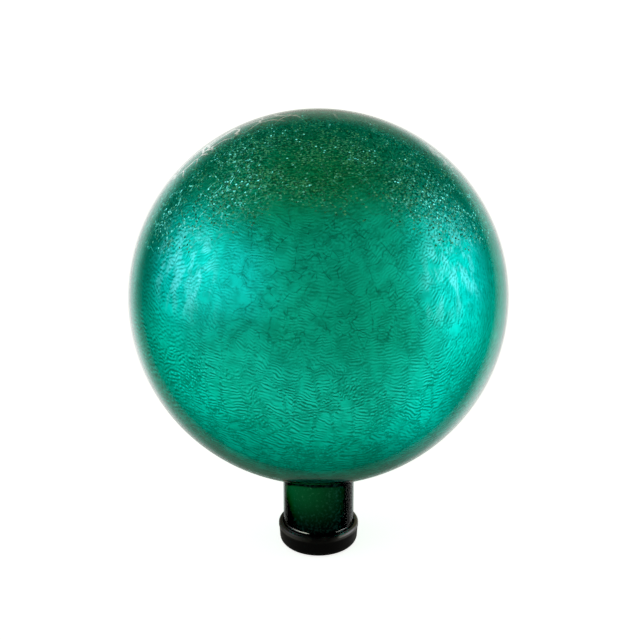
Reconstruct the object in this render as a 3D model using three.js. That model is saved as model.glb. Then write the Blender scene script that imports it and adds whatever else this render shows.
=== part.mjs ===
// Garden gazing ball: a mouth-blown crackle-glass globe with a short neck, closed by a push-on rubber cap.
// Millimetres, +Z up. The origin is the centre of the cap's flat base, which the ball stands on.

import * as THREE from 'three';

// Globe, measured outside the clear casing. Blown glass settles a little flat under its own weight.
const globeDiameter = 254;
const globeHeight = 250.8;

// The three coats of the wall, from the outside in, with the gap kept between one and the next
const casingWall = 0.8;
const crackleWall = 1.6;
const liningWall = 0.4;
const coatGap = 0.3;

// Neck, drawn out of the globe's underside
const neckDiameter = 48.8;
const neckReach = 56.8; // from the globe's lowest level down to the rim of the glass
const neckFillet = 3; // outside corner between globe and neck
const rimRound = 0.3; // fire-polished edges of the rim
const liningReach = 2; // how far the silver runs down into the neck, which is left dark below it

// Cap
const capClearance = 0.3; // between neck and skirt
const seatGap = 0.3; // between the glass rim and the cap's floor
const capFloor = 4;
const capWall = 3.1; // skirt, at the lip
const capHeight = 16.2;
const capTaper = 0.8; // the skirt's foot is this much smaller in radius than its lip
const capEdgeRound = 5; // lower outside edge
const lipBand = 3.4; // height of the thicker band round the mouth
const lipStep = 0.3; // how far that band stands out
const mouthChamfer = 1; // lead-in for the neck, up to the crest of the rounded lip

// Fineness of the faceted surfaces
const turnSegments = 48;
const upperRings = 12;
const lowerRings = 11;
const filletSteps = 3;
const rimSteps = 2;
const edgeSteps = 5;
const lipSteps = 4;

// Places that follow from the sizes
const globeRadius = globeDiameter / 2;
const neckRadius = neckDiameter / 2;
const flattening = globeHeight / globeDiameter;
const rimLevel = capFloor + seatGap;
const centreLevel = rimLevel + neckReach + globeHeight / 2;
// The fillet's centre, from the globe's centre, before the globe is flattened
const filletX = neckRadius + neckFillet;
const filletY = -Math.sqrt((globeRadius + neckFillet) ** 2 - filletX ** 2);
const neckTopLevel = centreLevel + flattening * filletY;

function arc(centreX, centreY, radius, from, to, steps) {
  return Array.from({ length: steps + 1 }, (_, i) => {
    const angle = THREE.MathUtils.lerp(from, to, i / steps);
    return new THREE.Vector2(centreX + radius * Math.cos(angle), centreY + radius * Math.sin(angle));
  });
}

// Profile of a surface that lies `inset` inside the casing's outside: from the crown over the equator,
// round the fillet and down the neck to `footLevel`.
function skin(inset, footLevel) {
  const radius = globeRadius - inset;
  const joinAngle = Math.atan2(filletY, filletX);
  const globe = [
    ...arc(0, 0, radius, Math.PI / 2, 0, upperRings),
    ...arc(0, 0, radius, 0, joinAngle, lowerRings).slice(1),
    ...arc(filletX, filletY, neckFillet + inset, joinAngle + Math.PI, Math.PI, filletSteps).slice(1),
  ];
  globe[0].x = 0;
  const placed = globe.map((p) => new THREE.Vector2(p.x, centreLevel + flattening * p.y));
  return [...placed, new THREE.Vector2(neckRadius - inset, footLevel)];
}

// Glass coat between two insets, from the inside to the outside, with both edges of its rim rounded
function glassCoat(outerInset, wall) {
  const innerInset = outerInset + wall;
  const roundLevel = rimLevel + rimRound;
  const innerEdgeX = neckRadius - innerInset + rimRound;
  const outerEdgeX = neckRadius - outerInset - rimRound;
  return [
    ...skin(innerInset, roundLevel),
    ...arc(innerEdgeX, roundLevel, rimRound, -Math.PI, -Math.PI / 2, rimSteps).slice(1),
    ...arc(outerEdgeX, roundLevel, rimRound, -Math.PI / 2, 0, rimSteps).slice(0, -1),
    ...skin(outerInset, roundLevel).reverse(),
  ];
}

// Film of silver and lacquer, which ends square just inside the neck
function filmCoat(outerInset, wall) {
  const footLevel = neckTopLevel - liningReach;
  return [
    ...skin(outerInset + wall, footLevel),
    ...skin(outerInset, footLevel).reverse(),
  ];
}

// Cup-shaped cap: flat base, rounded edge, tapered skirt, thicker lip, chamfered mouth and flat floor
function capProfile() {
  const boreRadius = neckRadius + capClearance;
  const lipRadius = boreRadius + capWall;
  const footRadius = lipRadius - capTaper;
  const bandLevel = capHeight - lipBand;
  const lipRound = capWall - mouthChamfer;
  return [
    new THREE.Vector2(0, 0),
    ...arc(footRadius - capEdgeRound, capEdgeRound, capEdgeRound, -Math.PI / 2, 0, edgeSteps),
    new THREE.Vector2(lipRadius - lipStep, bandLevel - lipStep),
    new THREE.Vector2(lipRadius, bandLevel),
    ...arc(lipRadius - lipRound, capHeight - lipRound, lipRound, 0, Math.PI / 2, lipSteps),
    new THREE.Vector2(boreRadius, capHeight - mouthChamfer),
    new THREE.Vector2(boreRadius, capFloor),
    new THREE.Vector2(0, capFloor),
  ];
}

// Turns a profile round the Z axis into a named piece.
function turned(name, profile, material) {
  const geometry = new THREE.LatheGeometry(profile, turnSegments);
  geometry.rotateX(Math.PI / 2);
  const piece = new THREE.Mesh(geometry, material);
  piece.name = name;
  return piece;
}

const clearGlass = new THREE.MeshStandardMaterial({
  color: 0xdfeee9, roughness: 0.04, metalness: 0, transparent: true, opacity: 0.3,
});
const emeraldGlass = new THREE.MeshStandardMaterial({ color: 0x079a74, roughness: 0.3, metalness: 0.6 });
const silver = new THREE.MeshStandardMaterial({ color: 0xd4d9d6, roughness: 0.12, metalness: 1 });
const blackRubber = new THREE.MeshStandardMaterial({ color: 0x0c0c0d, roughness: 0.45, metalness: 0 });

const crackleInset = casingWall + coatGap;
const liningInset = crackleInset + crackleWall + coatGap;

const gazingBall = new THREE.Group();
gazingBall.add(
  turned('outer_glass', glassCoat(0, casingWall), clearGlass),
  turned('crackle_glass', glassCoat(crackleInset, crackleWall), emeraldGlass),
  turned('silver_lining', filmCoat(liningInset, liningWall), silver),
  turned('neck_cap', capProfile(), blackRubber),
);

export default gazingBall;
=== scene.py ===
import math

import bmesh
import bpy
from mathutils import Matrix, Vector


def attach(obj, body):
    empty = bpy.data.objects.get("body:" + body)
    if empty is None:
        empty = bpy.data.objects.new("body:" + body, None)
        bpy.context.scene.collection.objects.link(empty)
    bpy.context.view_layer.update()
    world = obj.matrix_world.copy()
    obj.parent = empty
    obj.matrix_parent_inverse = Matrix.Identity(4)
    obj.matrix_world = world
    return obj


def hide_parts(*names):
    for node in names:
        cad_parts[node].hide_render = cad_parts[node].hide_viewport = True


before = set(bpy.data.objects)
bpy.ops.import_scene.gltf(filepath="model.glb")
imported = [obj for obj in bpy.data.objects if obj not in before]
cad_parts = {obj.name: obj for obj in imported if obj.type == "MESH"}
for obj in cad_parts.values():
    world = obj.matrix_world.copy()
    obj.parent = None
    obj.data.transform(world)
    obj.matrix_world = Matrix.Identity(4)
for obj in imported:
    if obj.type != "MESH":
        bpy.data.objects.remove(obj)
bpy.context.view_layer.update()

print("frame loaded:", sorted(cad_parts))


# Sets a node's inputs by name or number. Each is a value or the socket it is fed from.
def feedInputs(tree, node, inputs):
    for key, value in inputs.items():
        if isinstance(value, bpy.types.NodeSocket):
            tree.links.new(value, node.inputs[key])
        else:
            node.inputs[key].default_value = value


def addNode(tree, kind, inputs=None, **settings):
    made = tree.nodes.new("ShaderNode" + kind)
    for name, value in settings.items():
        setattr(made, name, value)
    feedInputs(tree, made, inputs or {})
    return made


def calc(tree, operation, first, second=0.0, third=0.0, clamp=False):
    made = addNode(tree, "Math", {0: first, 1: second, 2: third}, operation=operation, use_clamp=clamp)
    return made.outputs[0]


def product(tree, first, *others):
    for other in others:
        first = calc(tree, "MULTIPLY", first, other)
    return first


def largest(tree, first, *others):
    for other in others:
        first = calc(tree, "MAXIMUM", first, other)
    return first


def vectorCalc(tree, operation, first, second=(0, 0, 0), result="Vector"):
    return addNode(tree, "VectorMath", {0: first, 1: second}, operation=operation).outputs[result]


def scaled(tree, vector, factor):
    return addNode(tree, "VectorMath", {0: vector, "Scale": factor}, operation="SCALE").outputs["Vector"]


# A random colour as a vector that points any way
def signed(tree, colour):
    return vectorCalc(tree, "SUBTRACT", colour, (0.5, 0.5, 0.5))


def noise(tree, place, scale, detail, output="Fac"):
    return addNode(tree, "TexNoise", {"Vector": place, "Scale": scale, "Detail": detail}).outputs[output]


# Smooth step from 0 at `low` to 1 at `high`; a falling one has `low` above `high`
def ramp(tree, value, low, high, toLow=0.0, toHigh=1.0):
    fixed = not isinstance(low, bpy.types.NodeSocket) and not isinstance(high, bpy.types.NodeSocket)
    if fixed and low > high:
        low, high, toLow, toHigh = high, low, toHigh, toLow
    spread = {"Value": value, "From Min": low, "From Max": high, "To Min": toLow, "To Max": toHigh}
    return addNode(tree, "MapRange", spread, interpolation_type="SMOOTHSTEP").outputs[0]


# 1 between the two middle levels, and smoothly down to 0 at the outer two
def band(tree, value, start, full, fading, end):
    return product(tree, ramp(tree, value, start, full), ramp(tree, value, end, fading))


def mixColours(tree, factor, first, second, blend="MIX"):
    made = addNode(tree, "Mix", {0: factor, 6: first, 7: second}, data_type="RGBA", blend_type=blend)
    return made.outputs[2]


def mixValues(tree, factor, first, second):
    return addNode(tree, "Mix", {0: factor, 2: first, 3: second}).outputs[0]


def mixVectors(tree, factor, first, second):
    return addNode(tree, "Mix", {0: factor, 4: first, 5: second}, data_type="VECTOR").outputs[1]


def grey(level):
    return (level, level, level, 1)


# Starts a node group with named inputs (type, name, value) and outputs (type, name)
def startGroup(name, inputs, outputs):
    tree = bpy.data.node_groups.new(name, "ShaderNodeTree")
    for kind, label, value in inputs:
        socket = tree.interface.new_socket(name=label, in_out="INPUT", socket_type="NodeSocket" + kind)
        if value is not None:
            socket.default_value = value
    for kind, label in outputs:
        tree.interface.new_socket(name=label, in_out="OUTPUT", socket_type="NodeSocket" + kind)
    return tree, tree.nodes.new("NodeGroupInput").outputs, tree.nodes.new("NodeGroupOutput").inputs


def fillGroup(tree, group, inputs):
    made = tree.nodes.new("ShaderNodeGroup")
    made.node_tree = group
    feedInputs(tree, made, inputs)
    return made.outputs


def startMaterial(name):
    material = bpy.data.materials.new(name)
    material.use_nodes = True
    tree = material.node_tree
    tree.nodes.clear()
    return material, tree


def endMaterial(tree, shader):
    tree.links.new(shader, tree.nodes.new("ShaderNodeOutputMaterial").inputs["Surface"])


# The photo's view: the aim lies a little right of the globe's middle and below it
view = {
    "distance": 1.5,
    "elevation": math.radians(24),
    "aimAside": 0.001004,
    "aimBelow": 0.015598,
    "lens": 126.04,
    "sensor": 36,
    "clipStart": 0.05,
    "globeCentre": Vector((0, 0, 0.1865)),
}
towardCamera = Vector((0, -math.cos(view["elevation"]), math.sin(view["elevation"])))
cameraUp = Vector((0, math.sin(view["elevation"]), math.cos(view["elevation"])))

cameraData = bpy.data.cameras.new("camera")
cameraData.lens = view["lens"]
cameraData.sensor_width = view["sensor"]
cameraData.clip_start = view["clipStart"]
camera = bpy.data.objects.new("camera", cameraData)
bpy.context.scene.collection.objects.link(camera)
bpy.context.scene.camera = camera
camera.location = view["globeCentre"] + view["distance"] * towardCamera
aim = view["globeCentre"] + Vector((view["aimAside"], 0, 0)) - view["aimBelow"] * cameraUp
camera.rotation_euler = (aim - camera.location).to_track_quat("-Z", "Y").to_euler()
print("camera placed")

globeShape = {
    "radius": 0.127,
    "flattening": 250.8 / 254,  # height over width
    "centre": 0.1865,
    "neckRadius": 0.0244,
    "filletRadius": 0.003,
    "rimLevel": 0.0043,
}
profileMerge = 1e-6
seamMerge = 1e-7


# Draws on from the profile's last vertex along an arc in the XZ plane
def drawArc(bm, tip, centre, turn, steps):
    made = bmesh.ops.spin(
        bm, geom=[tip], cent=centre, axis=(0, 1, 0), angle=turn, steps=steps, use_duplicate=False
    )
    return [v for v in made["geom_last"] if isinstance(v, bmesh.types.BMVert)][0]


# Draws on from the profile's last vertex straight to a place, in a number of steps
def drawLine(bm, tip, place, steps=1):
    step = (Vector(place) - tip.co) / steps
    for _ in range(steps):
        tip = bmesh.ops.extrude_vert_indiv(bm, verts=[tip])["verts"][0]
        tip.co += step
    return tip


# Spins a drawn profile round the axis into a closed shell
def spinProfile(bm, segments):
    bmesh.ops.spin(
        bm, geom=bm.verts[:] + bm.edges[:], cent=(0, 0, 0), axis=(0, 0, 1),
        angle=2 * math.pi, steps=segments, use_merge=True, use_duplicate=False,
    )
    bmesh.ops.remove_doubles(bm, verts=bm.verts, dist=seamMerge)
    bmesh.ops.recalc_face_normals(bm, faces=bm.faces)


# Draws one skin of a glass coat, from its crown to the foot of its neck, and gives its last vertex
def drawSkin(bm, inset, footLevel, rings, filletSteps, neckSteps):
    radius = globeShape["radius"] - inset
    filletX = globeShape["neckRadius"] + globeShape["filletRadius"]
    filletZ = -math.sqrt((globeShape["radius"] + globeShape["filletRadius"]) ** 2 - filletX ** 2)
    joinAngle = math.atan2(-filletZ, filletX)
    before = set(bm.verts)
    crown = bm.verts.new((0, 0, radius))
    tip = drawArc(bm, crown, (0, 0, 0), math.pi / 2 + joinAngle, rings)
    tip = drawArc(bm, tip, (filletX, 0, filletZ), -joinAngle, filletSteps)
    drawn = [v for v in bm.verts if v not in before]
    bmesh.ops.scale(bm, vec=(1, 1, globeShape["flattening"]), verts=drawn)
    bmesh.ops.translate(bm, vec=(0, 0, globeShape["centre"]), verts=drawn)
    return drawLine(bm, tip, (globeShape["neckRadius"] - inset, 0, footLevel), neckSteps)


# A closed glass coat between two insets, with a rounded rim
def glassCoat(name, coat):
    bm = bmesh.new()
    rimRadius = coat["wall"] / 2
    roundLevel = globeShape["rimLevel"] + rimRadius
    foot = drawSkin(bm, coat["inset"], roundLevel, coat["rings"], coat["filletSteps"], coat["neckSteps"])
    rimMiddle = (globeShape["neckRadius"] - coat["inset"] - rimRadius, 0, roundLevel)
    drawArc(bm, foot, rimMiddle, math.pi, coat["rimSteps"])
    drawSkin(bm, coat["inset"] + coat["wall"], roundLevel, coat["innerRings"], coat["filletSteps"], 1)
    bmesh.ops.remove_doubles(bm, verts=bm.verts, dist=profileMerge)
    spinProfile(bm, coat["segments"])
    print(name, "faces:", len(bm.faces))
    return bm


def finishPiece(name, bm, material, body, slot, *nodes):
    mesh = bpy.data.meshes.new(name)
    bm.to_mesh(mesh)
    bm.free()
    mesh.shade_smooth()
    mesh.materials.append(material)
    piece = bpy.data.objects.new(name, mesh)
    bpy.context.scene.collection.objects.link(piece)
    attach(piece, body)
    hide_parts(*nodes)
    return piece


# Cells of cracked glass: a mask of the cracks between them, a wide soft one, and a random tilt for each
def makeCrackCells():
    tree, given, made = startGroup(
        "crackCells",
        [("Vector", "Place", None), ("Float", "Cell Size", 0.003), ("Float", "Crack Width", 0.0005)],
        [("Float", "Crack"), ("Float", "Near"), ("Vector", "Tilt")],
    )
    density = calc(tree, "DIVIDE", 1.0, given["Cell Size"])
    cells = {"Vector": given["Place"], "Scale": density}
    edges = addNode(tree, "TexVoronoi", cells, feature="DISTANCE_TO_EDGE").outputs["Distance"]
    colour = addNode(tree, "TexVoronoi", cells, feature="F1").outputs["Color"]
    width = product(tree, given["Crack Width"], density)
    crack = calc(tree, "SUBTRACT", 1.0, ramp(tree, edges, product(tree, width, 0.2), width))
    near = calc(tree, "SUBTRACT", 1.0, ramp(tree, edges, width, product(tree, width, 7.0)))
    tree.links.new(crack, made["Crack"])
    tree.links.new(near, made["Near"])
    tree.links.new(signed(tree, colour), made["Tilt"])
    return tree


# Small round flecks on a share of the places for them, each with its own tilt
def makeFlecks():
    tree, given, made = startGroup(
        "flecks",
        [("Vector", "Place", None), ("Float", "Size", 0.002), ("Float", "Share", 0.2)],
        [("Float", "Fleck"), ("Vector", "Tilt")],
    )
    density = calc(tree, "DIVIDE", 1.0, given["Size"])
    spots = addNode(tree, "TexVoronoi", {"Vector": given["Place"], "Scale": density}, feature="F1").outputs
    tone = addNode(tree, "SeparateColor", {0: spots["Color"]}).outputs[2]
    chosen = calc(tree, "GREATER_THAN", tone, calc(tree, "SUBTRACT", 1.0, given["Share"]))
    fleck = product(tree, ramp(tree, spots["Distance"], 0.55, 0.3), chosen)
    tree.links.new(fleck, made["Fleck"])
    tree.links.new(signed(tree, spots["Color"]), made["Tilt"])
    return tree


crackCells = makeCrackCells()
flecks = makeFlecks()


def cracksAt(tree, place, cellSize, crackWidth):
    return fillGroup(tree, crackCells, {"Place": place, "Cell Size": cellSize, "Crack Width": crackWidth})


# A pair or four numbers are a ramp: from, to, and its values there when they aren't 0 and 1. Bands give
# their four levels. Heights are above the floor, and "aside" is the distance left or right, in metres.
crackleLook = {
    "tint": (0.006, 0.84, 0.7, 1),
    "deepTint": (0.004, 0.68, 0.53, 1),
    # the next is a painted highlight on the ripples' crests
    "crestHighlightTint": (0.02, 0.97, 0.86, 1),
    # the next is the dark green of the mottling and fine crack lines, and also painted shade in the ripples'
    # grooves, at the crown and inside the outline
    "darkTintAndShade": (0.003, 0.3, 0.22, 1),
    "crackTint": (0.0015, 0.13, 0.09, 1),
    # the next is the colour of painted glints
    "paleGlintTint": (0.2, 0.98, 0.84, 1),
    # the next is the colour of painted highlight streaks
    "streakHighlightTint": (0.15, 0.97, 0.94, 1),
    "glancingTint": (0.02, 0.58, 0.54, 1),
    "neckTint": (0.002, 0.09, 0.03, 1),
    "speckTint": (0.05, 0.26, 0.14, 1),
    "neckShade": (0.0006, 0.002, 0.0015, 1),
    "neckMottle": (0.003, 0.018, 0.016, 1),
    "neckGlancing": (0.002, 0.008, 0.006, 1),
    "neckEdge": (0.42, 0.52, 0.46, 1),
    "softRoughness": 0.32,
    "crispRoughness": 0.16,
    "crispShare": 0.38,
    # slow changes of the tint
    "deepClouds": (0.35, 0.65),
    "mottle": (0.4, 0.65, 0.0, 0.4),
    # scales of the noises
    "turningScale": 13.0,
    "cloudScale": 22.0,
    "patchScale": 34.0,
    "waveScale": 110.0,
    "mottleScale": 125.0,
    "streakScale": 130.0,
    "brokenScale": 230.0,
    "speckScale": 520.0,
    "grainScale": 620.0,
    # cells: their size and the width of their cracks
    "columnCells": (0.013, 0.0018),
    "plateCells": (0.0155, 0.0005),
    "chipCells": (0.0075, 0.0004),
    "scaleCells": (0.0023, 0.0006),
    "waveShift": 0.0045,  # wanders off straight by this
    # squeeze of a pattern down the globe; less than 1 draws it out
    "columnSqueeze": 0.4,
    "grainSqueeze": 0.8,
    "streakSqueeze": 0.22,
    # ripples: how they turn, where they are disturbed, how many and how strong
    "turning": 3.2,
    "uprightAside": (0.055, 0.1, 0.0, 1.2),
    "unrestPatches": (0.5, 0.62),
    "unrestColumns": 0.8,
    "unrestCrown": (0.272, 0.285),
    "unrestAside": (0.06, 0.095, 0.0, 0.75),
    "rippleCell": 0.0062,
    "ripplesInCell": (0.1, 0.22, 1.8, 3.2),
    "ripplesAside": (0.06, 0.11, 1.0, 0.75),
    "rippleOrder": 0.94,
    "rippleDisorder": -0.45,
    "cloudLift": 0.05,  # makes the next two levels uneven
    "strengthLow": (0.185, 0.225, 1.4, 0.55),
    "strengthHigh": (0.245, 0.265, 1.0, 0.8),
    "strengthAside": (0.045, 0.075, 1.0, 1.4),
    "strengthCrown": (0.278, 0.296, 0.0, 1.3),
    "strengthPatches": (0.3, 0.45, 0.65, 1.0),
    # grooves are darkened as painted shade and crests lightened as painted highlight
    "groove": (0.5, 0.34, 0.0, 0.85),
    "crest": (0.5, 0.66, 0.0, 0.65),
    "scaleDepth": 0.45,
    # smooth windows
    "windowSize": 0.023,
    "windowSqueeze": 1.4,
    "windowChoice": 0.72,  # the share of places without one
    "windowEdge": (0.26, 0.2),
    # plates and ticks round the middle
    "plateBand": (0.2, 0.215, 0.27, 0.285),
    "plateAside": (0.07, 0.04),
    "plateBreaks": (0.38, 0.6),
    "plateDepth": 0.2,
    "plateDepthMiddle": 0.35,
    "tickPatches": (0.42, 0.55, 0.0, 0.6),
    # painted shade: a dark ring inside the outline
    "ringBand": (0.48, 0.6, 0.7, 0.8),
    "ringAside": (0.05, 0.1),
    "ringDepth": 0.42,
    # crown, which reaches lower at the sides; it is darkened as painted shade, and its flecks, pale grain and
    # broken cracks are painted pale as painted glints
    "crownDroop": 4.0,
    "crownClouds": 0.02,
    "crownLevels": (0.284, 0.31),
    "crownDepth": 0.3,
    "fleckSize": 0.0018,
    "fleckShare": 0.2,
    "fleckShareNear": 0.55,
    "fleckPatches": (0.4, 0.55, 0.6, 1.4),
    "strokePatches": (0.46, 0.54),
    "networkBreaks": (0.42, 0.5),
    "networkLeft": (-0.02, -0.05, 0.35, 1.0),
    "grainPatches": (0.35, 0.55, 0.3, 1.0),
    "paleGrain": (0.55, 0.66, 0.0, 0.75),
    "darkGrain": (0.47, 0.35, 0.0, 0.85),
    # painted highlight: paler streaks on the shoulders
    "streaks": (0.45, 0.62),
    "streakRipples": (0.4, 0.6, 0.5, 0.9),
    "shoulderAside": (0.06, 0.075, 0.1, 0.11),
    "shoulderBand": (0.205, 0.23, 0.25, 0.275),
    # neck, whose lit green and black shade are painted light and shade
    "neckTop": (0.0646, 0.0636),
    "neckWaviness": 0.004,
    "litSlope": -0.445,
    "litTop": (0.0443, 0.0427),
    "litFoot": (0.019, 0.05),
    "litLeft": (0.02, -0.006, 0.12, 1.0),
    "specks": (0.56, 0.72, 0.0, 0.35),
    "mottling": (0.46, 0.64),
    # how far the marks tip the surface
    "rippleTilt": 0.35,
    "networkTilt": 1.6,
    "fleckTilt": 1.9,
}


def emeraldMaterial():
    look = crackleLook
    material, tree = startMaterial("emeraldCrackle")
    place = addNode(tree, "TexCoord").outputs["Object"]
    toCentre = (0, 0, -globeShape["centre"])
    centred = addNode(tree, "Mapping", {"Vector": place, "Location": toCentre}).outputs[0]
    height = addNode(tree, "SeparateXYZ", {0: place}).outputs["Z"]
    spot = addNode(tree, "SeparateXYZ", {0: centred}).outputs
    aside = calc(tree, "ABSOLUTE", spot["X"])

    # wavy shift that all the cracks share
    waves = noise(tree, centred, look["waveScale"], 2.0, "Color")
    wavy = vectorCalc(tree, "ADD", centred, scaled(tree, signed(tree, waves), look["waveShift"]))
    patches = noise(tree, centred, look["patchScale"], 2.0)
    clouds = noise(tree, centred, look["cloudScale"], 5.0)
    broken = noise(tree, centred, look["brokenScale"], 2.0)

    # directions along the surface: around the axis, and down from the crown
    outward = vectorCalc(tree, "NORMALIZE", centred)
    around = vectorCalc(tree, "NORMALIZE", vectorCalc(tree, "CROSS_PRODUCT", (0, 0, 1), outward))
    down = vectorCalc(tree, "CROSS_PRODUCT", around, outward)
    fromCrown = calc(tree, "ARCCOSINE", addNode(tree, "SeparateXYZ", {0: outward}).outputs["Z"])
    arcDown = product(tree, fromCrown, globeShape["radius"])

    # place on the globe, with its arc down from the crown squeezed
    def ringed(squeeze):
        squeezed = product(tree, arcDown, squeeze)
        return addNode(tree, "CombineXYZ", {0: spot["X"], 1: spot["Y"], 2: squeezed}).outputs[0]

    # fine ripples, level at front and back and nearly upright at the sides
    turning = calc(tree, "SUBTRACT", noise(tree, centred, look["turningScale"], 1.0), 0.5)
    angle = calc(tree, "MULTIPLY_ADD", turning, look["turning"], ramp(tree, aside, *look["uprightAside"]))
    goingDown = scaled(tree, down, calc(tree, "COSINE", angle))
    goingRound = scaled(tree, around, calc(tree, "SINE", angle))
    heading = vectorCalc(tree, "ADD", goingDown, goingRound)
    columns = cracksAt(tree, ringed(look["columnSqueeze"]), *look["columnCells"])
    unrest = largest(
        tree,
        ramp(tree, patches, *look["unrestPatches"]),
        product(tree, columns["Crack"], look["unrestColumns"]),
        ramp(tree, height, *look["unrestCrown"]),
        ramp(tree, aside, *look["unrestAside"]),
    )
    frequency = product(
        tree, ramp(tree, height, *look["ripplesInCell"]), ramp(tree, aside, *look["ripplesAside"])
    )
    evenness = calc(tree, "MULTIPLY_ADD", unrest, look["rippleDisorder"], look["rippleOrder"])
    ripples = addNode(tree, "TexGabor", {
        "Vector": wavy, "Scale": 1 / look["rippleCell"], "Frequency": frequency,
        "Anisotropy": evenness, 5: heading,
    }, gabor_type="3D").outputs["Value"]

    # smooth lens-shaped windows in the crackle
    windowPlace = addNode(tree, "CombineXYZ", {
        0: addNode(tree, "SeparateXYZ", {0: wavy}).outputs["X"], 1: spot["Y"],
        2: product(tree, arcDown, look["windowSqueeze"]),
    }).outputs[0]
    windows = {"Vector": windowPlace, "Scale": 1 / look["windowSize"]}
    cells = addNode(tree, "TexVoronoi", windows, feature="F1").outputs
    tone = addNode(tree, "SeparateColor", {0: cells["Color"]}).outputs[0]
    chosen = calc(tree, "GREATER_THAN", tone, look["windowChoice"])
    window = product(tree, ramp(tree, cells["Distance"], *look["windowEdge"]), chosen)

    scales = cracksAt(tree, wavy, *look["scaleCells"])
    plates = cracksAt(tree, wavy, *look["plateCells"])
    chips = cracksAt(tree, wavy, *look["chipCells"])

    # ripples are strong below the middle, and faint where the glass cracked in plates
    cloudy = calc(tree, "MULTIPLY_ADD", clouds, look["cloudLift"], height)
    strength = product(
        tree,
        ramp(tree, cloudy, *look["strengthLow"]),
        ramp(tree, cloudy, *look["strengthHigh"]),
        ramp(tree, aside, *look["strengthAside"]),
    )
    strength = largest(tree, strength, ramp(tree, height, *look["strengthCrown"]))
    strength = product(tree, strength, ramp(tree, patches, *look["strengthPatches"]))
    strength = product(tree, strength, calc(tree, "SUBTRACT", 1.0, window))
    groove = product(tree, ramp(tree, ripples, *look["groove"]), strength)
    crest = product(tree, ramp(tree, ripples, *look["crest"]), strength)
    scaleLines = product(tree, scales["Crack"], unrest, strength)
    middle = product(tree, band(tree, height, *look["plateBand"]), ramp(tree, aside, *look["plateAside"]))
    whole = ramp(tree, broken, *look["plateBreaks"])
    plateDepth = calc(tree, "MULTIPLY_ADD", middle, look["plateDepthMiddle"], look["plateDepth"])
    plateLines = product(tree, plates["Crack"], whole, plateDepth)
    ticks = product(tree, chips["Crack"], middle, ramp(tree, patches, *look["tickPatches"]))
    plateLines = largest(tree, plateLines, product(tree, ticks, whole))

    # painted shade just inside the outline, away from the middle, for the dark surroundings reflected there
    facing = addNode(tree, "LayerWeight", {"Blend": 0.5}).outputs["Facing"]
    limbShade = product(tree, band(tree, facing, *look["ringBand"]), ramp(tree, aside, *look["ringAside"]))

    # flecks and broken cracks round the crown and part of the way down the sides are tilted to catch the light,
    # and also painted pale as painted glints, the cracks more at the left
    lifted = calc(tree, "MULTIPLY_ADD", product(tree, spot["X"], spot["X"]), look["crownDroop"], height)
    lifted = calc(tree, "MULTIPLY_ADD", clouds, look["crownClouds"], lifted)
    crown = ramp(tree, lifted, *look["crownLevels"])
    nearPlates = calc(tree, "MULTIPLY_ADD", plates["Near"], look["fleckShareNear"], look["fleckShare"])
    share = product(tree, crown, nearPlates, ramp(tree, patches, *look["fleckPatches"]))
    glints = fillGroup(tree, flecks, {"Place": ringed(1.0), "Size": look["fleckSize"], "Share": share})
    strokes = product(tree, chips["Crack"], ramp(tree, patches, *look["strokePatches"]))
    network = product(
        tree,
        largest(tree, plates["Crack"], strokes),
        crown,
        ramp(tree, broken, *look["networkBreaks"]),
        ramp(tree, spot["X"], *look["networkLeft"]),
    )
    grain = noise(tree, ringed(look["grainSqueeze"]), look["grainScale"], 1.0)
    grainy = product(tree, crown, ramp(tree, patches, *look["grainPatches"]))
    paleGrain = product(tree, ramp(tree, grain, *look["paleGrain"]), grainy)
    darkGrain = product(tree, ramp(tree, grain, *look["darkGrain"]), grainy)

    # painted highlight: paler streaks on the shoulders, where the lamps' highlights fall
    streaks = ramp(tree, noise(tree, ringed(look["streakSqueeze"]), look["streakScale"], 3.0), *look["streaks"])
    streaks = product(tree, streaks, ramp(tree, ripples, *look["streakRipples"]))
    shoulder = product(
        tree, band(tree, aside, *look["shoulderAside"]), band(tree, height, *look["shoulderBand"])
    )

    # tint, and each kind of mark on top of the last
    colour = mixColours(tree, ramp(tree, clouds, *look["deepClouds"]), look["tint"], look["deepTint"])
    mottle = ramp(tree, noise(tree, centred, look["mottleScale"], 3.0), *look["mottle"])
    for mask, tint in (
        (mottle, "darkTintAndShade"),
        # painted highlight streaks on the shoulders
        (product(tree, streaks, shoulder), "streakHighlightTint"),
        # painted shade in the ripples' grooves, then painted highlight on their crests
        (groove, "darkTintAndShade"),
        (crest, "crestHighlightTint"),
        (product(tree, scaleLines, look["scaleDepth"]), "darkTintAndShade"),
        (plateLines, "crackTint"),
        # painted shade darkens the crown
        (product(tree, crown, look["crownDepth"]), "darkTintAndShade"),
        (darkGrain, "crackTint"),
        # painted glints in the crown's grain
        (paleGrain, "paleGlintTint"),
        # painted shade inside the outline
        (product(tree, limbShade, look["ringDepth"]), "darkTintAndShade"),
        # painted glints on flecks and broken cracks
        (largest(tree, glints["Fleck"], network), "paleGlintTint"),
    ):
        colour = mixColours(tree, mask, colour, look[tint])

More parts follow.
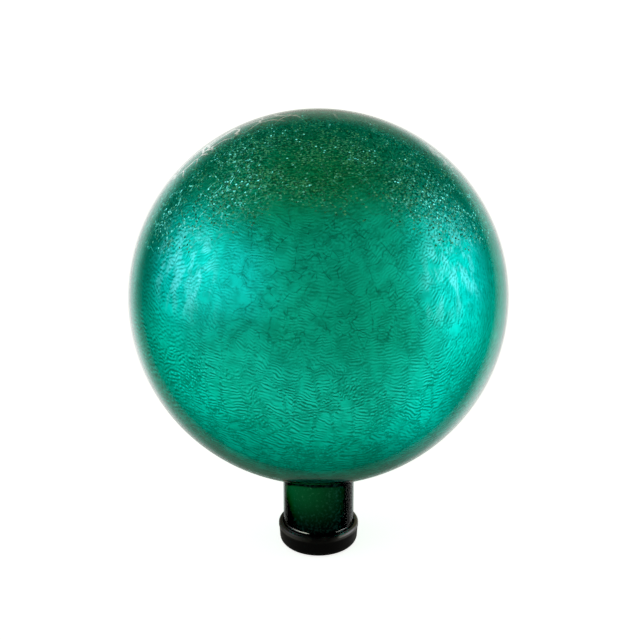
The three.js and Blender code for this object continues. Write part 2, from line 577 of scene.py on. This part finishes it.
    # unsilvered neck: dark green with specks, with painted light and shade: lit green at the left, dim at the
    # right, and painted shade that turns it black near the cap and where it meets the globe, where the black
    # reaches lower at the sides
    neck = ramp(tree, height, *look["neckTop"])
    wavyHeight = calc(tree, "SUBTRACT", height, look["neckWaviness"] / 2)
    wavyHeight = calc(tree, "MULTIPLY_ADD", patches, look["neckWaviness"], wavyHeight)
    depth = calc(tree, "MULTIPLY_ADD", calc(tree, "ABSOLUTE", spot["Y"]), look["litSlope"], wavyHeight)
    lit = product(
        tree,
        ramp(tree, depth, *look["litTop"]),
        ramp(tree, height, *look["litFoot"]),
        ramp(tree, spot["X"], *look["litLeft"]),
    )
    marks = noise(tree, place, look["speckScale"], 2.0)
    neckColour = mixColours(tree, ramp(tree, marks, *look["specks"]), look["neckTint"], look["speckTint"])
    shade = mixColours(tree, ramp(tree, marks, *look["mottling"]), look["neckShade"], look["neckMottle"])
    neckColour = mixColours(tree, lit, shade, neckColour)
    colour = mixColours(tree, neck, colour, neckColour)
    # painted sheen: the glancing tint is pale where the neck is painted lit and near black in its painted shade
    neckSheen = mixColours(tree, lit, look["neckGlancing"], look["neckEdge"])
    glancing = mixColours(tree, neck, look["glancingTint"], neckSheen)

    # ripples and flecks tip the surface
    onGlobe = calc(tree, "SUBTRACT", 1.0, neck)
    slope = product(tree, calc(tree, "SUBTRACT", ripples, 0.5), strength)
    tilt = scaled(tree, heading, product(tree, slope, look["rippleTilt"]))
    tilt = mixVectors(tree, network, tilt, scaled(tree, scales["Tilt"], look["networkTilt"]))
    tilt = mixVectors(tree, glints["Fleck"], tilt, scaled(tree, glints["Tilt"], look["fleckTilt"]))
    untilted = addNode(tree, "NewGeometry").outputs["Normal"]
    normal = vectorCalc(tree, "NORMALIZE", vectorCalc(tree, "ADD", untilted, scaled(tree, tilt, onGlobe)))

    # a soft and a crisp gloss of the silver behind the tint
    coats = [
        addNode(tree, "BsdfPrincipled", {
            "Base Color": colour, "Metallic": 1.0, "Roughness": look[roughness], "Normal": normal,
            "Specular Tint": glancing,
        }).outputs[0]
        for roughness in ("softRoughness", "crispRoughness")
    ]
    both = addNode(tree, "MixShader", {0: look["crispShare"], 1: coats[0], 2: coats[1]})
    endMaterial(tree, both.outputs[0])
    return material


crackleCoat = {
    "inset": 0.0011, "wall": 0.0016, "segments": 400, "rings": 180, "innerRings": 24,
    "filletSteps": 6, "neckSteps": 10, "rimSteps": 4,
    "waveSize": 0.030, "waveDepth": 0.0004, "plateSize": 0.009, "plateDepth": 0.00022,
    "reliefFrom": 0.064, "reliefFade": 0.006,
}


# Sinks the outer skin by a procedural texture, so the relief is in the mesh
def addRelief(piece, name, kind, size, depth, group, **settings):
    texture = bpy.data.textures.new(name, kind)
    texture.noise_scale = size
    for key, value in settings.items():
        setattr(texture, key, value)
    relief = piece.modifiers.new(name, "DISPLACE")
    relief.texture = texture
    relief.texture_coords = "LOCAL"
    relief.strength = depth
    relief.mid_level = 1.0
    relief.vertex_group = group


def makeCrackleGlobe():
    coat = crackleCoat
    bm = glassCoat("crackleGlobe", coat)
    skin = globeShape["radius"] - coat["inset"] - coat["wall"] / 2
    piece = finishPiece("crackleGlobe", bm, emeraldMaterial(), "globe", "emerald_glass", "crackle_glass")
    group = piece.vertex_groups.new(name="relief")
    middle = Vector((0, 0, globeShape["centre"]))
    for vertex in piece.data.vertices:
        away = vertex.co - middle
        away.z /= globeShape["flattening"]
        if away.length > skin and vertex.co.z > coat["reliefFrom"]:
            weight = min(1, (vertex.co.z - coat["reliefFrom"]) / coat["reliefFade"])
            group.add([vertex.index], weight, "REPLACE")
    addRelief(piece, "slowWaves", "CLOUDS", coat["waveSize"], coat["waveDepth"], "relief")
    addRelief(
        piece, "plates", "VORONOI", coat["plateSize"], coat["plateDepth"], "relief",
        weight_1=-1.0, weight_2=1.0,
    )
    print("crackle globe made")


makeCrackleGlobe()

casingCoat = {
    "inset": 0.0, "wall": 0.0008, "segments": 192, "rings": 110, "innerRings": 60,
    "filletSteps": 6, "neckSteps": 8, "rimSteps": 4,
}
# Gloss is what the Fresnel gives above the head-on level, times the gain of the neck or the globe
casingLook = {
    "indexOfRefraction": 1.5,
    "headOn": 0.14,
    "neckHeadOn": (-0.004, 0.006, 0.11, 0.065),
    "gain": (0.5, 1.8),
    "underGloss": (0.075, 0.15, 0.6, 1.0),
    "roughness": 0.02,
    "glossTint": (0.91, 0.97, 1, 1),
    "globeFrom": (0.060, 0.064),
    # glass seen edge on, with painted shade below the globe and at the crown
    "sideTint": (0.6, 0.66, 0.64, 1),
    "crownShadeTint": (0.3, 0.33, 0.32, 1),
    "underShadeTint": (0.12, 0.25, 0.23, 1),
    "neckTint": (0.012, 0.04, 0.03, 1),
    "underLevels": (0.1, 0.17),
    "crownLevels": (0.22, 0.3),
    "neckRim": (0.66, 0.86),
    "globeRim": (0.84, 0.9),
    # long cracks
    "waveScale": 90.0,
    "waveShift": 0.008,
    "patchScale": 16.0,
    "crackedCells": (0.017, 0.0008),
    "crackedLevels": (0.262, 0.282),
    "crackedLeft": (0.03, -0.03, 0.3, 1.0),
    "crackedPatches": (0.36, 0.46),
    "crackedFacing": (0.66, 0.78),
    "crackGloss": 0.9,
    # painted highlight: a bright line round the end of the neck
    "endBand": (0.0164, 0.0168, 0.0177, 0.0181),
    "endLeft": (-0.006, -0.0085, 0.0, 1.0),
    "endRight": (0.011, 0.015, 0.0, 0.4),
    "scuffScale": 260.0,
    "scuffs": (0.32, 0.4),
}


def casingMaterial():
    look = casingLook
    material, tree = startMaterial("clearCasing")
    place = addNode(tree, "TexCoord").outputs["Object"]
    spot = addNode(tree, "SeparateXYZ", {0: place}).outputs
    fresnel = addNode(tree, "Fresnel", {"IOR": look["indexOfRefraction"]}).outputs[0]
    facing = addNode(tree, "LayerWeight", {"Blend": 0.5}).outputs["Facing"]
    front = calc(tree, "SUBTRACT", 1.0, addNode(tree, "NewGeometry").outputs["Backfacing"])
    onGlobe = ramp(tree, spot["Z"], *look["globeFrom"])
    headOn = mixValues(tree, onGlobe, ramp(tree, spot["X"], *look["neckHeadOn"]), look["headOn"])
    shine = calc(tree, "SUBTRACT", fresnel, headOn, clamp=True)
    shine = product(tree, shine, mixValues(tree, onGlobe, *look["gain"]))
    underside = mixValues(tree, onGlobe, 1.0, ramp(tree, spot["Z"], *look["underGloss"]))
    shine = product(tree, shine, underside)

    # a few long cracks near the crown
    waves = noise(tree, place, look["waveScale"], 3.0, "Color")
    wavy = vectorCalc(tree, "ADD", place, scaled(tree, signed(tree, waves), look["waveShift"]))
    cracks = cracksAt(tree, wavy, *look["crackedCells"])
    cracked = product(
        tree,
        ramp(tree, spot["Z"], *look["crackedLevels"]),
        ramp(tree, spot["X"], *look["crackedLeft"]),
        ramp(tree, noise(tree, place, look["patchScale"], 1.0), *look["crackedPatches"]),
        ramp(tree, facing, *look["crackedFacing"]),
    )
    crackShine = product(tree, cracks["Crack"], cracked, look["crackGloss"])
    shine = calc(tree, "ADD", shine, crackShine, clamp=True)

    # painted highlight: gloss turned full on in a band at the casing's end, just above the cap, at its left and
    # right
    scuffs = ramp(tree, noise(tree, place, look["scuffScale"], 2.0), *look["scuffs"])
    highlightSides = largest(tree, ramp(tree, spot["X"], *look["endLeft"]), ramp(tree, spot["X"], *look["endRight"]))
    end = product(tree, band(tree, spot["Z"], *look["endBand"]), scuffs, highlightSides)
    shine = product(tree, largest(tree, shine, end), front)

    # glass seen edge on is thick, and darker; below the globe and at the crown it is darker still, as painted
    # shade
    rim = mixValues(tree, onGlobe, ramp(tree, facing, *look["neckRim"]), ramp(tree, facing, *look["globeRim"]))
    tint = mixColours(tree, ramp(tree, spot["Z"], *look["underLevels"]), look["underShadeTint"], look["sideTint"])
    tint = mixColours(tree, ramp(tree, spot["Z"], *look["crownLevels"]), tint, look["crownShadeTint"])
    tint = mixColours(tree, onGlobe, look["neckTint"], tint)
    tint = mixColours(tree, product(tree, rim, front), grey(1.0), tint)
    gloss = addNode(tree, "BsdfAnisotropic", {"Color": look["glossTint"], "Roughness": look["roughness"]})
    clear = addNode(tree, "BsdfTransparent", {"Color": tint})
    mixed = addNode(tree, "MixShader", {0: shine, 1: clear.outputs[0], 2: gloss.outputs[0]})
    endMaterial(tree, mixed.outputs[0])
    return material


finishPiece(
    "clearCasing", glassCoat("clearCasing", casingCoat), casingMaterial(), "globe", "clear_glass", "outer_glass"
)
print("clear casing made")

silverLook = {
    "bright": (0.82, 0.85, 0.84, 1), "dull": (0.68, 0.72, 0.7, 1), "blotchScale": 60.0,
    "dulling": (0.35, 0.65), "roughness": (0.3, 0.7, 0.08, 0.2),
}


def silverMaterial():
    look = silverLook
    material, tree = startMaterial("mirrorFilm")
    place = addNode(tree, "TexCoord").outputs["Object"]
    blotches = noise(tree, place, look["blotchScale"], 5.0)
    colour = mixColours(tree, ramp(tree, blotches, *look["dulling"]), look["bright"], look["dull"])
    shader = addNode(tree, "BsdfPrincipled", {
        "Base Color": colour, "Metallic": 1.0, "Roughness": ramp(tree, blotches, *look["roughness"]),
    })
    endMaterial(tree, shader.outputs[0])
    return material


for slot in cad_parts["silver_lining"].material_slots:
    slot.material = silverMaterial()
print("silver lining finished")

capShape = {
    "floor": 0.004, "height": 0.0162, "bore": 0.02448, "lipRadius": 0.0278, "footRadius": 0.0270,
    "edgeRound": 0.005, "lipBand": 0.0034, "lipStep": 0.0003, "lipRound": 0.0021, "segments": 160,
    "footSteps": 6, "edgeSteps": 12, "wallSteps": 6, "bandSteps": 2, "lipSteps": 10, "mouthSteps": 6,
    "boreSteps": 4, "floorSteps": 4,
}
# A gloss is its specular level, roughness and index of refraction
rubberLook = {
    "base": (0.0016, 0.0016, 0.0022, 1),
    "dust": (0.02, 0.019, 0.017, 1),
    "bodyGloss": (0.03, 0.42, 1.5),
    "lipGloss": (1.0, 0.2, 1.75),
    "lipLevels": (0.0118, 0.0134),
    "dustScale": 180.0,
    "dusty": (0.45, 0.75),
    "dustOnBody": 0.06,
    "dustOnLip": 0.6,
    "smears": (0.3, 0.7, 0.0, 0.12),
    "grainScale": 1500.0,
    "grainStrength": 0.25,
    "grainDepth": 0.0001,
    # the next three place the painted highlight's gloss
    "highlightAside": (0.006, 0.02, 0.01, 0.25),
    "crestLevels": (0.0136, 0.0148),
    "crestRight": (0.012, 0.0155),
}


def rubberMaterial():
    look = rubberLook
    material, tree = startMaterial("capRubber")
    place = addNode(tree, "TexCoord").outputs["Object"]
    spot = addNode(tree, "SeparateXYZ", {0: place}).outputs
    dust = noise(tree, place, look["dustScale"], 5.0)
    lip = ramp(tree, spot["Z"], *look["lipLevels"])
    dustLevel = calc(tree, "MULTIPLY_ADD", lip, look["dustOnLip"], look["dustOnBody"])
    dusty = product(tree, ramp(tree, dust, *look["dusty"]), dustLevel)
    colour = mixColours(tree, dusty, look["base"], look["dust"])

    # moulded grain, smooth on the lip
    grain = product(tree, noise(tree, place, look["grainScale"], 2.0), calc(tree, "SUBTRACT", 1.0, lip))
    bumped = addNode(tree, "Bump", {
        "Height": grain, "Strength": look["grainStrength"], "Distance": look["grainDepth"],
    }).outputs[0]
    matt, glossy = [
        addNode(tree, "BsdfPrincipled", {
            "Base Color": colour, "Specular IOR Level": level, "IOR": index, "Normal": bumped,
            "Roughness": calc(tree, "ADD", ramp(tree, dust, *look["smears"]), roughness),
        }).outputs[0]
        for level, roughness, index in (look["bodyGloss"], look["lipGloss"])
    ]

    # painted highlight: gloss turned up at the sides of the lip, and most on its crest at the right, where the
    # lamps' highlights fall
    aside = calc(tree, "ABSOLUTE", spot["X"])
    highlightGloss = product(tree, lip, ramp(tree, aside, *look["highlightAside"]))
    crest = product(
        tree, ramp(tree, spot["Z"], *look["crestLevels"]), ramp(tree, spot["X"], *look["crestRight"])
    )
    highlightGloss = largest(tree, highlightGloss, crest)
    endMaterial(tree, addNode(tree, "MixShader", {0: highlightGloss, 1: matt, 2: glossy}).outputs[0])
    return material


def makeNeckCap():
    shape = capShape
    height, lipRadius, footRadius = shape["height"], shape["lipRadius"], shape["footRadius"]
    edgeRound, lipStep, lipRound = shape["edgeRound"], shape["lipStep"], shape["lipRound"]
    crestRadius = lipRadius - lipRound
    mouthRound = crestRadius - shape["bore"]
    bandLevel = height - shape["lipBand"]
    quarter = -math.pi / 2
    bm = bmesh.new()
    tip = bm.verts.new((0, 0, 0))
    tip = drawLine(bm, tip, (footRadius - edgeRound, 0, 0), shape["footSteps"])
    tip = drawArc(bm, tip, (footRadius - edgeRound, 0, edgeRound), quarter, shape["edgeSteps"])
    tip = drawLine(bm, tip, (lipRadius - lipStep, 0, bandLevel - lipStep), shape["wallSteps"])
    tip = drawLine(bm, tip, (lipRadius, 0, bandLevel), shape["bandSteps"])
    tip = drawLine(bm, tip, (lipRadius, 0, height - lipRound), shape["bandSteps"])
    tip = drawArc(bm, tip, (crestRadius, 0, height - lipRound), quarter, shape["lipSteps"])
    tip = drawArc(bm, tip, (crestRadius, 0, height - mouthRound), quarter, shape["mouthSteps"])
    tip = drawLine(bm, tip, (shape["bore"], 0, shape["floor"]), shape["boreSteps"])
    drawLine(bm, tip, (0, 0, shape["floor"]), shape["floorSteps"])
    spinProfile(bm, shape["segments"])
    finishPiece("neckCap", bm, rubberMaterial(), "cap", "cap_rubber", "neck_cap")
    print("neck cap made")


makeNeckCap()

studio = {
    "base": (0.045, 0.0475, 0.018, 1),
    "floorSize": 16.0,
    "floorGlow": 0.8,
    "floorTone": 0.85,
    "paperTone": 0.98,
    "paperScale": 3.0,
}

# Lit areas round the object. Each has a bearing to the right of the camera's side and a height, a half width
# and a half height, all in degrees, a softness, a level and how blue it is. A level below 0 takes light
# away, as the last one does with the blue from overhead.
litAreas = [
    (-95, 10.5, 24.5, 19, 0.82, 0.7, 1.2),
    (-70, 25.5, 29, 18, 0.74, 0.61, 1.24),
    (97, 7, 24.5, 23.5, 0.73, 1.03, 1.2),
    (61.5, 23, 72.5, 46, 0.9, 0.33, 0.72),
    (-7, -60, 55, 44.5, 0.94, 0.51, 0.84),
    (-106, -34.5, 29.5, 21.5, 0.85, 0.55, 0.9),
    (104, -39, 42.5, 24, 0.47, 0.53, 1.02),
    (-158, -16, 17, 22, 0.46, 0.78, 1.0),
    (154, -19.5, 24.5, 23.5, 0.25, 0.6, 0.96),
    (-102, 40.5, 66.5, 33.5, 0.9, 0.27, 0.68),
    (23.5, 51.5, 52, 23.5, 0.69, 0.07, 0.99),
    (-44, -29, 22, 24, 0.69, 0.21, 0.86),
    (171, 0, 23, 18.5, 0.65, 0.25, 0.92),
    (0, 54, 24, 15, 0.8, 0.06, 0.9),
    (180, 76, 32, 28, 0.9, -0.004, 14),
]


# Mask of an elliptical lit area; its side and height directions come divided by its half sizes
def makeLitArea():
    tree, given, made = startGroup(
        "litArea",
        [
            ("Vector", "Direction", None), ("Vector", "Axis", None), ("Vector", "Side", None),
            ("Vector", "Up", None), ("Float", "Softness", 0.5),
        ],
        [("Float", "Mask")],
    )
    across = vectorCalc(tree, "DOT_PRODUCT", given["Direction"], given["Side"], "Value")
    upward = vectorCalc(tree, "DOT_PRODUCT", given["Direction"], given["Up"], "Value")
    ahead = vectorCalc(tree, "DOT_PRODUCT", given["Direction"], given["Axis"], "Value")
    offset = addNode(tree, "CombineXYZ", {0: across, 1: upward}).outputs[0]
    away = vectorCalc(tree, "LENGTH", offset, result="Value")
    outer = calc(tree, "ADD", 1.0, given["Softness"])
    inner = calc(tree, "SUBTRACT", 1.0, given["Softness"])
    mask = calc(tree, "SUBTRACT", 1.0, ramp(tree, away, inner, outer))
    tree.links.new(product(tree, mask, ramp(tree, ahead, -0.05, 0.1)), made["Mask"])  # none behind
    return tree


def lightStudio():
    world = bpy.data.worlds.new("studio")
    bpy.context.scene.world = world
    world.use_nodes = True
    tree = world.node_tree
    tree.nodes.clear()
    litArea = makeLitArea()
    direction = addNode(tree, "TexCoord").outputs["Generated"]
    light = studio["base"]
    for *angles, softness, level, blue in litAreas:
        bearing, rise, halfWidth, halfHeight = [math.radians(angle) for angle in angles]
        axis = Vector((math.sin(bearing) * math.cos(rise), -math.cos(bearing) * math.cos(rise), math.sin(rise)))
        side = axis.cross(Vector((0, 0, 1))).normalized()
        up = side.cross(axis)
        mask = fillGroup(tree, litArea, {
            "Direction": direction, "Axis": axis, "Side": side / math.sin(halfWidth),
            "Up": up / math.sin(halfHeight), "Softness": softness,
        })["Mask"]
        tone = (abs(level), abs(level), abs(level) * blue, 1)
        light = mixColours(tree, mask, light, tone, "ADD" if level > 0 else "SUBTRACT")
    light = mixColours(tree, 1.0, light, grey(0.0), "LIGHTEN")  # no light below black
    seen = addNode(tree, "LightPath").outputs["Is Camera Ray"]
    colour = mixColours(tree, seen, light, grey(1.0))
    background = addNode(tree, "Background", {"Color": colour, "Strength": 1.0})
    tree.links.new(background.outputs[0], tree.nodes.new("ShaderNodeOutputWorld").inputs["Surface"])


# White paper that glows a little for the camera alone, and shows in no reflection
def layFloor():
    material, tree = startMaterial("paleFloor")
    place = addNode(tree, "TexCoord").outputs["Object"]
    paper = noise(tree, place, studio["paperScale"], 2.0)
    tone = mixColours(tree, paper, grey(studio["floorTone"]), grey(studio["floorTone"] * studio["paperTone"]))
    matt = addNode(tree, "BsdfDiffuse", {"Color": tone})
    glow = addNode(tree, "Emission", {"Color": grey(1.0), "Strength": studio["floorGlow"]})
    seen = addNode(tree, "LightPath").outputs["Is Camera Ray"]
    dark = addNode(tree, "Emission", {"Color": grey(1.0), "Strength": 0.0})
    lift = addNode(tree, "MixShader", {0: seen, 1: dark.outputs[0], 2: glow.outputs[0]})
    both = addNode(tree, "AddShader", {0: matt.outputs[0], 1: lift.outputs[0]})
    endMaterial(tree, both.outputs[0])
    bm = bmesh.new()
    bmesh.ops.create_grid(bm, x_segments=1, y_segments=1, size=studio["floorSize"] / 2)
    mesh = bpy.data.meshes.new("floor")
    bm.to_mesh(mesh)
    bm.free()
    mesh.materials.append(material)
    floor = bpy.data.objects.new("floor", mesh)
    bpy.context.scene.collection.objects.link(floor)
    floor.visible_glossy = False


lightStudio()
layFloor()
bpy.context.scene.view_settings.view_transform = "Standard"
print("studio lit")
